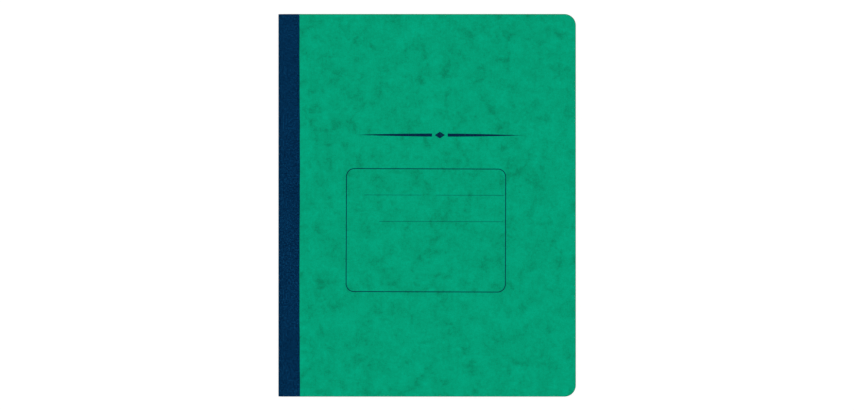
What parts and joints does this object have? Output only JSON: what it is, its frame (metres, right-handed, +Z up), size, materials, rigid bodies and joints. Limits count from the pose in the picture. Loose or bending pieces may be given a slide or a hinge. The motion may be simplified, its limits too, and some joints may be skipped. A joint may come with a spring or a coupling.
{
  "type": "cash book",
  "caption": "Sewn cash book with mottled green pressboard covers, a navy cloth spine, rounded fore-edge corners and ruled leaves that open about the fold",
  "frame": {"origin": "middle of the closed book's footprint, on the surface that the back cover lies on", "axes": "+X from the spine to the fore edge, +Y from tail to head, +Z up through the thickness to the front cover"},
  "size_m": [0.21, 0.27, 0.0065],
  "materials": {
    "pressboard": "glazed",
    "book_cloth": "woven",
    "endpaper": "matte",
    "ledger_paper": "matte",
    "thread": "matte"
  },
  "bodies": {
    "back_cover": {"back_cover": "pressboard", "back_pastedown": "endpaper", "spine_cloth_back": "book_cloth"},
    "spine": {"spine_cloth_round": "book_cloth", "endpaper_fold": "endpaper", "sheet_folds": "ledger_paper", "sewing_thread": "thread"},
    "front_cover": {"front_cover": "pressboard", "front_pastedown": "endpaper", "spine_cloth_front": "book_cloth"},
    "leaf_01": {"leaf_01": "ledger_paper"},
    "leaf_02": {"leaf_02": "ledger_paper"},
    "leaf_03": {"leaf_03": "ledger_paper"},
    "leaf_04": {"leaf_04": "ledger_paper"},
    "leaf_05": {"leaf_05": "ledger_paper"},
    "leaf_06": {"leaf_06": "ledger_paper"},
    "leaf_07": {"leaf_07": "ledger_paper"},
    "leaf_08": {"leaf_08": "ledger_paper"},
    "leaf_09": {"leaf_09": "ledger_paper"},
    "leaf_10": {"leaf_10": "ledger_paper"},
    "leaf_11": {"leaf_11": "ledger_paper"},
    "leaf_12": {"leaf_12": "ledger_paper"},
    "leaf_13": {"leaf_13": "ledger_paper"},
    "leaf_14": {"leaf_14": "ledger_paper"},
    "leaf_15": {"leaf_15": "ledger_paper"},
    "leaf_16": {"leaf_16": "ledger_paper"},
    "leaf_17": {"leaf_17": "ledger_paper"},
    "leaf_18": {"leaf_18": "ledger_paper"},
    "leaf_19": {"leaf_19": "ledger_paper"},
    "leaf_20": {"leaf_20": "ledger_paper"},
    "leaf_21": {"leaf_21": "ledger_paper"},
    "leaf_22": {"leaf_22": "ledger_paper"},
    "leaf_23": {"leaf_23": "ledger_paper"},
    "leaf_24": {"leaf_24": "ledger_paper"},
    "leaf_25": {"leaf_25": "ledger_paper"},
    "leaf_26": {"leaf_26": "ledger_paper"},
    "leaf_27": {"leaf_27": "ledger_paper"},
    "leaf_28": {"leaf_28": "ledger_paper"},
    "leaf_29": {"leaf_29": "ledger_paper"},
    "leaf_30": {"leaf_30": "ledger_paper"},
    "leaf_31": {"leaf_31": "ledger_paper"},
    "leaf_32": {"leaf_32": "ledger_paper"},
    "leaf_33": {"leaf_33": "ledger_paper"},
    "leaf_34": {"leaf_34": "ledger_paper"},
    "leaf_35": {"leaf_35": "ledger_paper"},
    "leaf_36": {"leaf_36": "ledger_paper"},
    "leaf_37": {"leaf_37": "ledger_paper"},
    "leaf_38": {"leaf_38": "ledger_paper"},
    "leaf_39": {"leaf_39": "ledger_paper"},
    "leaf_40": {"leaf_40": "ledger_paper"}
  },
  "joints": [
    {"name": "front_cover_hinge", "type": "hinge", "parent": "back_cover", "child": "front_cover", "pos_m": [-0.10185, 0, 0.00327], "axis": [0, -1, 0], "range_deg": [0, 179], "deforming": ["spine_cloth_round", "endpaper_fold", "sheet_folds"]},
    {"name": "spine_roll", "type": "hinge", "parent": "back_cover", "child": "spine", "pos_m": [-0.10185, 0, 0.00327], "axis": [0, -1, 0], "range_deg": [0, 89.5]},
    {"name": "leaf_01_turn", "type": "hinge", "parent": "back_cover", "child": "leaf_01", "pos_m": [-0.10185, 0, 0.00327], "axis": [0, -1, 0], "range_deg": [0, 178.97]},
    {"name": "leaf_02_turn", "type": "hinge", "parent": "back_cover", "child": "leaf_02", "pos_m": [-0.10185, 0, 0.00327], "axis": [0, -1, 0], "range_deg": [0, 178.94]},
    {"name": "leaf_03_turn", "type": "hinge", "parent": "back_cover", "child": "leaf_03", "pos_m": [-0.10185, 0, 0.00327], "axis": [0, -1, 0], "range_deg": [0, 178.91]},
    {"name": "leaf_04_turn", "type": "hinge", "parent": "back_cover", "child": "leaf_04", "pos_m": [-0.10185, 0, 0.00327], "axis": [0, -1, 0], "range_deg": [0, 178.88]},
    {"name": "leaf_05_turn", "type": "hinge", "parent": "back_cover", "child": "leaf_05", "pos_m": [-0.10185, 0, 0.00327], "axis": [0, -1, 0], "range_deg": [0, 178.85]},
    {"name": "leaf_06_turn", "type": "hinge", "parent": "back_cover", "child": "leaf_06", "pos_m": [-0.10185, 0, 0.00327], "axis": [0, -1, 0], "range_deg": [0, 178.82]},
    {"name": "leaf_07_turn", "type": "hinge", "parent": "back_cover", "child": "leaf_07", "pos_m": [-0.10185, 0, 0.00327], "axis": [0, -1, 0], "range_deg": [0, 178.79]},
    {"name": "leaf_08_turn", "type": "hinge", "parent": "back_cover", "child": "leaf_08", "pos_m": [-0.10185, 0, 0.00327], "axis": [0, -1, 0], "range_deg": [0, 178.76]},
    {"name": "leaf_09_turn", "type": "hinge", "parent": "back_cover", "child": "leaf_09", "pos_m": [-0.10185, 0, 0.00327], "axis": [0, -1, 0], "range_deg": [0, 178.73]},
    {"name": "leaf_10_turn", "type": "hinge", "parent": "back_cover", "child": "leaf_10", "pos_m": [-0.10185, 0, 0.00327], "axis": [0, -1, 0], "range_deg": [0, 178.7]},
    {"name": "leaf_11_turn", "type": "hinge", "parent": "back_cover", "child": "leaf_11", "pos_m": [-0.10185, 0, 0.00327], "axis": [0, -1, 0], "range_deg": [0, 178.67]},
    {"name": "leaf_12_turn", "type": "hinge", "parent": "back_cover", "child": "leaf_12", "pos_m": [-0.10185, 0, 0.00327], "axis": [0, -1, 0], "range_deg": [0, 178.64]},
    {"name": "leaf_13_turn", "type": "hinge", "parent": "back_cover", "child": "leaf_13", "pos_m": [-0.10185, 0, 0.00327], "axis": [0, -1, 0], "range_deg": [0, 178.61]},
    {"name": "leaf_14_turn", "type": "hinge", "parent": "back_cover", "child": "leaf_14", "pos_m": [-0.10185, 0, 0.00327], "axis": [0, -1, 0], "range_deg": [0, 178.58]},
    {"name": "leaf_15_turn", "type": "hinge", "parent": "back_cover", "child": "leaf_15", "pos_m": [-0.10185, 0, 0.00327], "axis": [0, -1, 0], "range_deg": [0, 178.55]},
    {"name": "leaf_16_turn", "type": "hinge", "parent": "back_cover", "child": "leaf_16", "pos_m": [-0.10185, 0, 0.00327], "axis": [0, -1, 0], "range_deg": [0, 178.52]},
    {"name": "leaf_17_turn", "type": "hinge", "parent": "back_cover", "child": "leaf_17", "pos_m": [-0.10185, 0, 0.00327], "axis": [0, -1, 0], "range_deg": [0, 178.49]},
    {"name": "leaf_18_turn", "type": "hinge", "parent": "back_cover", "child": "leaf_18", "pos_m": [-0.10185, 0, 0.00327], "axis": [0, -1, 0], "range_deg": [0, 178.46]},
    {"name": "leaf_19_turn", "type": "hinge", "parent": "back_cover", "child": "leaf_19", "pos_m": [-0.10185, 0, 0.00327], "axis": [0, -1, 0], "range_deg": [0, 178.43]},
    {"name": "leaf_20_turn", "type": "hinge", "parent": "back_cover", "child": "leaf_20", "pos_m": [-0.10185, 0, 0.00327], "axis": [0, -1, 0], "range_deg": [0, 178.4]},
    {"name": "leaf_21_turn", "type": "hinge", "parent": "back_cover", "child": "leaf_21", "pos_m": [-0.10185, 0, 0.00327], "axis": [0, -1, 0], "range_deg": [0, 2.5]},
    {"name": "leaf_22_turn", "type": "hinge", "parent": "back_cover", "child": "leaf_22", "pos_m": [-0.10185, 0, 0.00327], "axis": [0, -1, 0], "range_deg": [0, 2.38]},
    {"name": "leaf_23_turn", "type": "hinge", "parent": "back_cover", "child": "leaf_23", "pos_m": [-0.10185, 0, 0.00327], "axis": [0, -1, 0], "range_deg": [0, 2.25]},
    {"name": "leaf_24_turn", "type": "hinge", "parent": "back_cover", "child": "leaf_24", "pos_m": [-0.10185, 0, 0.00327], "axis": [0, -1, 0], "range_deg": [0, 2.12]},
    {"name": "leaf_25_turn", "type": "hinge", "parent": "back_cover", "child": "leaf_25", "pos_m": [-0.10185, 0, 0.00327], "axis": [0, -1, 0], "range_deg": [0, 2]},
    {"name": "leaf_26_turn", "type": "hinge", "parent": "back_cover", "child": "leaf_26", "pos_m": [-0.10185, 0, 0.00327], "axis": [0, -1, 0], "range_deg": [0, 1.88]},
    {"name": "leaf_27_turn", "type": "hinge", "parent": "back_cover", "child": "leaf_27", "pos_m": [-0.10185, 0, 0.00327], "axis": [0, -1, 0], "range_deg": [0, 1.75]},
    {"name": "leaf_28_turn", "type": "hinge", "parent": "back_cover", "child": "leaf_28", "pos_m": [-0.10185, 0, 0.00327], "axis": [0, -1, 0], "range_deg": [0, 1.62]},
    {"name": "leaf_29_turn", "type": "hinge", "parent": "back_cover", "child": "leaf_29", "pos_m": [-0.10185, 0, 0.00327], "axis": [0, -1, 0], "range_deg": [0, 1.5]},
    {"name": "leaf_30_turn", "type": "hinge", "parent": "back_cover", "child": "leaf_30", "pos_m": [-0.10185, 0, 0.00327], "axis": [0, -1, 0], "range_deg": [0, 1.37]},
    {"name": "leaf_31_turn", "type": "hinge", "parent": "back_cover", "child": "leaf_31", "pos_m": [-0.10185, 0, 0.00327], "axis": [0, -1, 0], "range_deg": [0, 1.25]},
    {"name": "leaf_32_turn", "type": "hinge", "parent": "back_cover", "child": "leaf_32", "pos_m": [-0.10185, 0, 0.00327], "axis": [0, -1, 0], "range_deg": [0, 1.13]},
    {"name": "leaf_33_turn", "type": "hinge", "parent": "back_cover", "child": "leaf_33", "pos_m": [-0.10185, 0, 0.00327], "axis": [0, -1, 0], "range_deg": [0, 1]},
    {"name": "leaf_34_turn", "type": "hinge", "parent": "back_cover", "child": "leaf_34", "pos_m": [-0.10185, 0, 0.00327], "axis": [0, -1, 0], "range_deg": [0, 0.875]},
    {"name": "leaf_35_turn", "type": "hinge", "parent": "back_cover", "child": "leaf_35", "pos_m": [-0.10185, 0, 0.00327], "axis": [0, -1, 0], "range_deg": [0, 0.75]},
    {"name": "leaf_36_turn", "type": "hinge", "parent": "back_cover", "child": "leaf_36", "pos_m": [-0.10185, 0, 0.00327], "axis": [0, -1, 0], "range_deg": [0, 0.625]},
    {"name": "leaf_37_turn", "type": "hinge", "parent": "back_cover", "child": "leaf_37", "pos_m": [-0.10185, 0, 0.00327], "axis": [0, -1, 0], "range_deg": [0, 0.5]},
    {"name": "leaf_38_turn", "type": "hinge", "parent": "back_cover", "child": "leaf_38", "pos_m": [-0.10185, 0, 0.00327], "axis": [0, -1, 0], "range_deg": [0, 0.375]},
    {"name": "leaf_39_turn", "type": "hinge", "parent": "back_cover", "child": "leaf_39", "pos_m": [-0.10185, 0, 0.00327], "axis": [0, -1, 0], "range_deg": [0, 0.25]},
    {"name": "leaf_40_turn", "type": "hinge", "parent": "back_cover", "child": "leaf_40", "pos_m": [-0.10185, 0, 0.00327], "axis": [0, -1, 0], "range_deg": [0, 0.125]}
  ],
  "couplings": [
    {"joint": "spine_roll", "follows": "front_cover_hinge", "ratio": 0.5},
    {"joint": "leaf_01_turn", "follows": "front_cover_hinge", "ratio": 0.99983},
    {"joint": "leaf_02_turn", "follows": "front_cover_hinge", "ratio": 0.99966},
    {"joint": "leaf_03_turn", "follows": "front_cover_hinge", "ratio": 0.9995},
    {"joint": "leaf_04_turn", "follows": "front_cover_hinge", "ratio": 0.99933},
    {"joint": "leaf_05_turn", "follows": "front_cover_hinge", "ratio": 0.99916},
    {"joint": "leaf_06_turn", "follows": "front_cover_hinge", "ratio": 0.99899},
    {"joint": "leaf_07_turn", "follows": "front_cover_hinge", "ratio": 0.99883},
    {"joint": "leaf_08_turn", "follows": "front_cover_hinge", "ratio": 0.99866},
    {"joint": "leaf_09_turn", "follows": "front_cover_hinge", "ratio": 0.99849},
    {"joint": "leaf_10_turn", "follows": "front_cover_hinge", "ratio": 0.99832},
    {"joint": "leaf_11_turn", "follows": "front_cover_hinge", "ratio": 0.99816},
    {"joint": "leaf_12_turn", "follows": "front_cover_hinge", "ratio": 0.99799},
    {"joint": "leaf_13_turn", "follows": "front_cover_hinge", "ratio": 0.99782},
    {"joint": "leaf_14_turn", "follows": "front_cover_hinge", "ratio": 0.99765},
    {"joint": "leaf_15_turn", "follows": "front_cover_hinge", "ratio": 0.99749},
    {"joint": "leaf_16_turn", "follows": "front_cover_hinge", "ratio": 0.99732},
    {"joint": "leaf_17_turn", "follows": "front_cover_hinge", "ratio": 0.99715},
    {"joint": "leaf_18_turn", "follows": "front_cover_hinge", "ratio": 0.99698},
    {"joint": "leaf_19_turn", "follows": "front_cover_hinge", "ratio": 0.99682},
    {"joint": "leaf_20_turn", "follows": "front_cover_hinge", "ratio": 0.99665},
    {"joint": "leaf_21_turn", "follows": "front_cover_hinge", "ratio": 0.013966},
    {"joint": "leaf_22_turn", "follows": "front_cover_hinge", "ratio": 0.013268},
    {"joint": "leaf_23_turn", "follows": "front_cover_hinge", "ratio": 0.01257},
    {"joint": "leaf_24_turn", "follows": "front_cover_hinge", "ratio": 0.011872},
    {"joint": "leaf_25_turn", "follows": "front_cover_hinge", "ratio": 0.011173},
    {"joint": "leaf_26_turn", "follows": "front_cover_hinge", "ratio": 0.010475},
    {"joint": "leaf_27_turn", "follows": "front_cover_hinge", "ratio": 0.0097765},
    {"joint": "leaf_28_turn", "follows": "front_cover_hinge", "ratio": 0.0090782},
    {"joint": "leaf_29_turn", "follows": "front_cover_hinge", "ratio": 0.0083799},
    {"joint": "leaf_30_turn", "follows": "front_cover_hinge", "ratio": 0.0076816},
    {"joint": "leaf_31_turn", "follows": "front_cover_hinge", "ratio": 0.0069832},
    {"joint": "leaf_32_turn", "follows": "front_cover_hinge", "ratio": 0.0062849},
    {"joint": "leaf_33_turn", "follows": "front_cover_hinge", "ratio": 0.0055866},
    {"joint": "leaf_34_turn", "follows": "front_cover_hinge", "ratio": 0.0048883},
    {"joint": "leaf_35_turn", "follows": "front_cover_hinge", "ratio": 0.0041899},
    {"joint": "leaf_36_turn", "follows": "front_cover_hinge", "ratio": 0.0034916},
    {"joint": "leaf_37_turn", "follows": "front_cover_hinge", "ratio": 0.0027933},
    {"joint": "leaf_38_turn", "follows": "front_cover_hinge", "ratio": 0.002095},
    {"joint": "leaf_39_turn", "follows": "front_cover_hinge", "ratio": 0.0013966},
    {"joint": "leaf_40_turn", "follows": "front_cover_hinge", "ratio": 0.00069832}
  ]
}
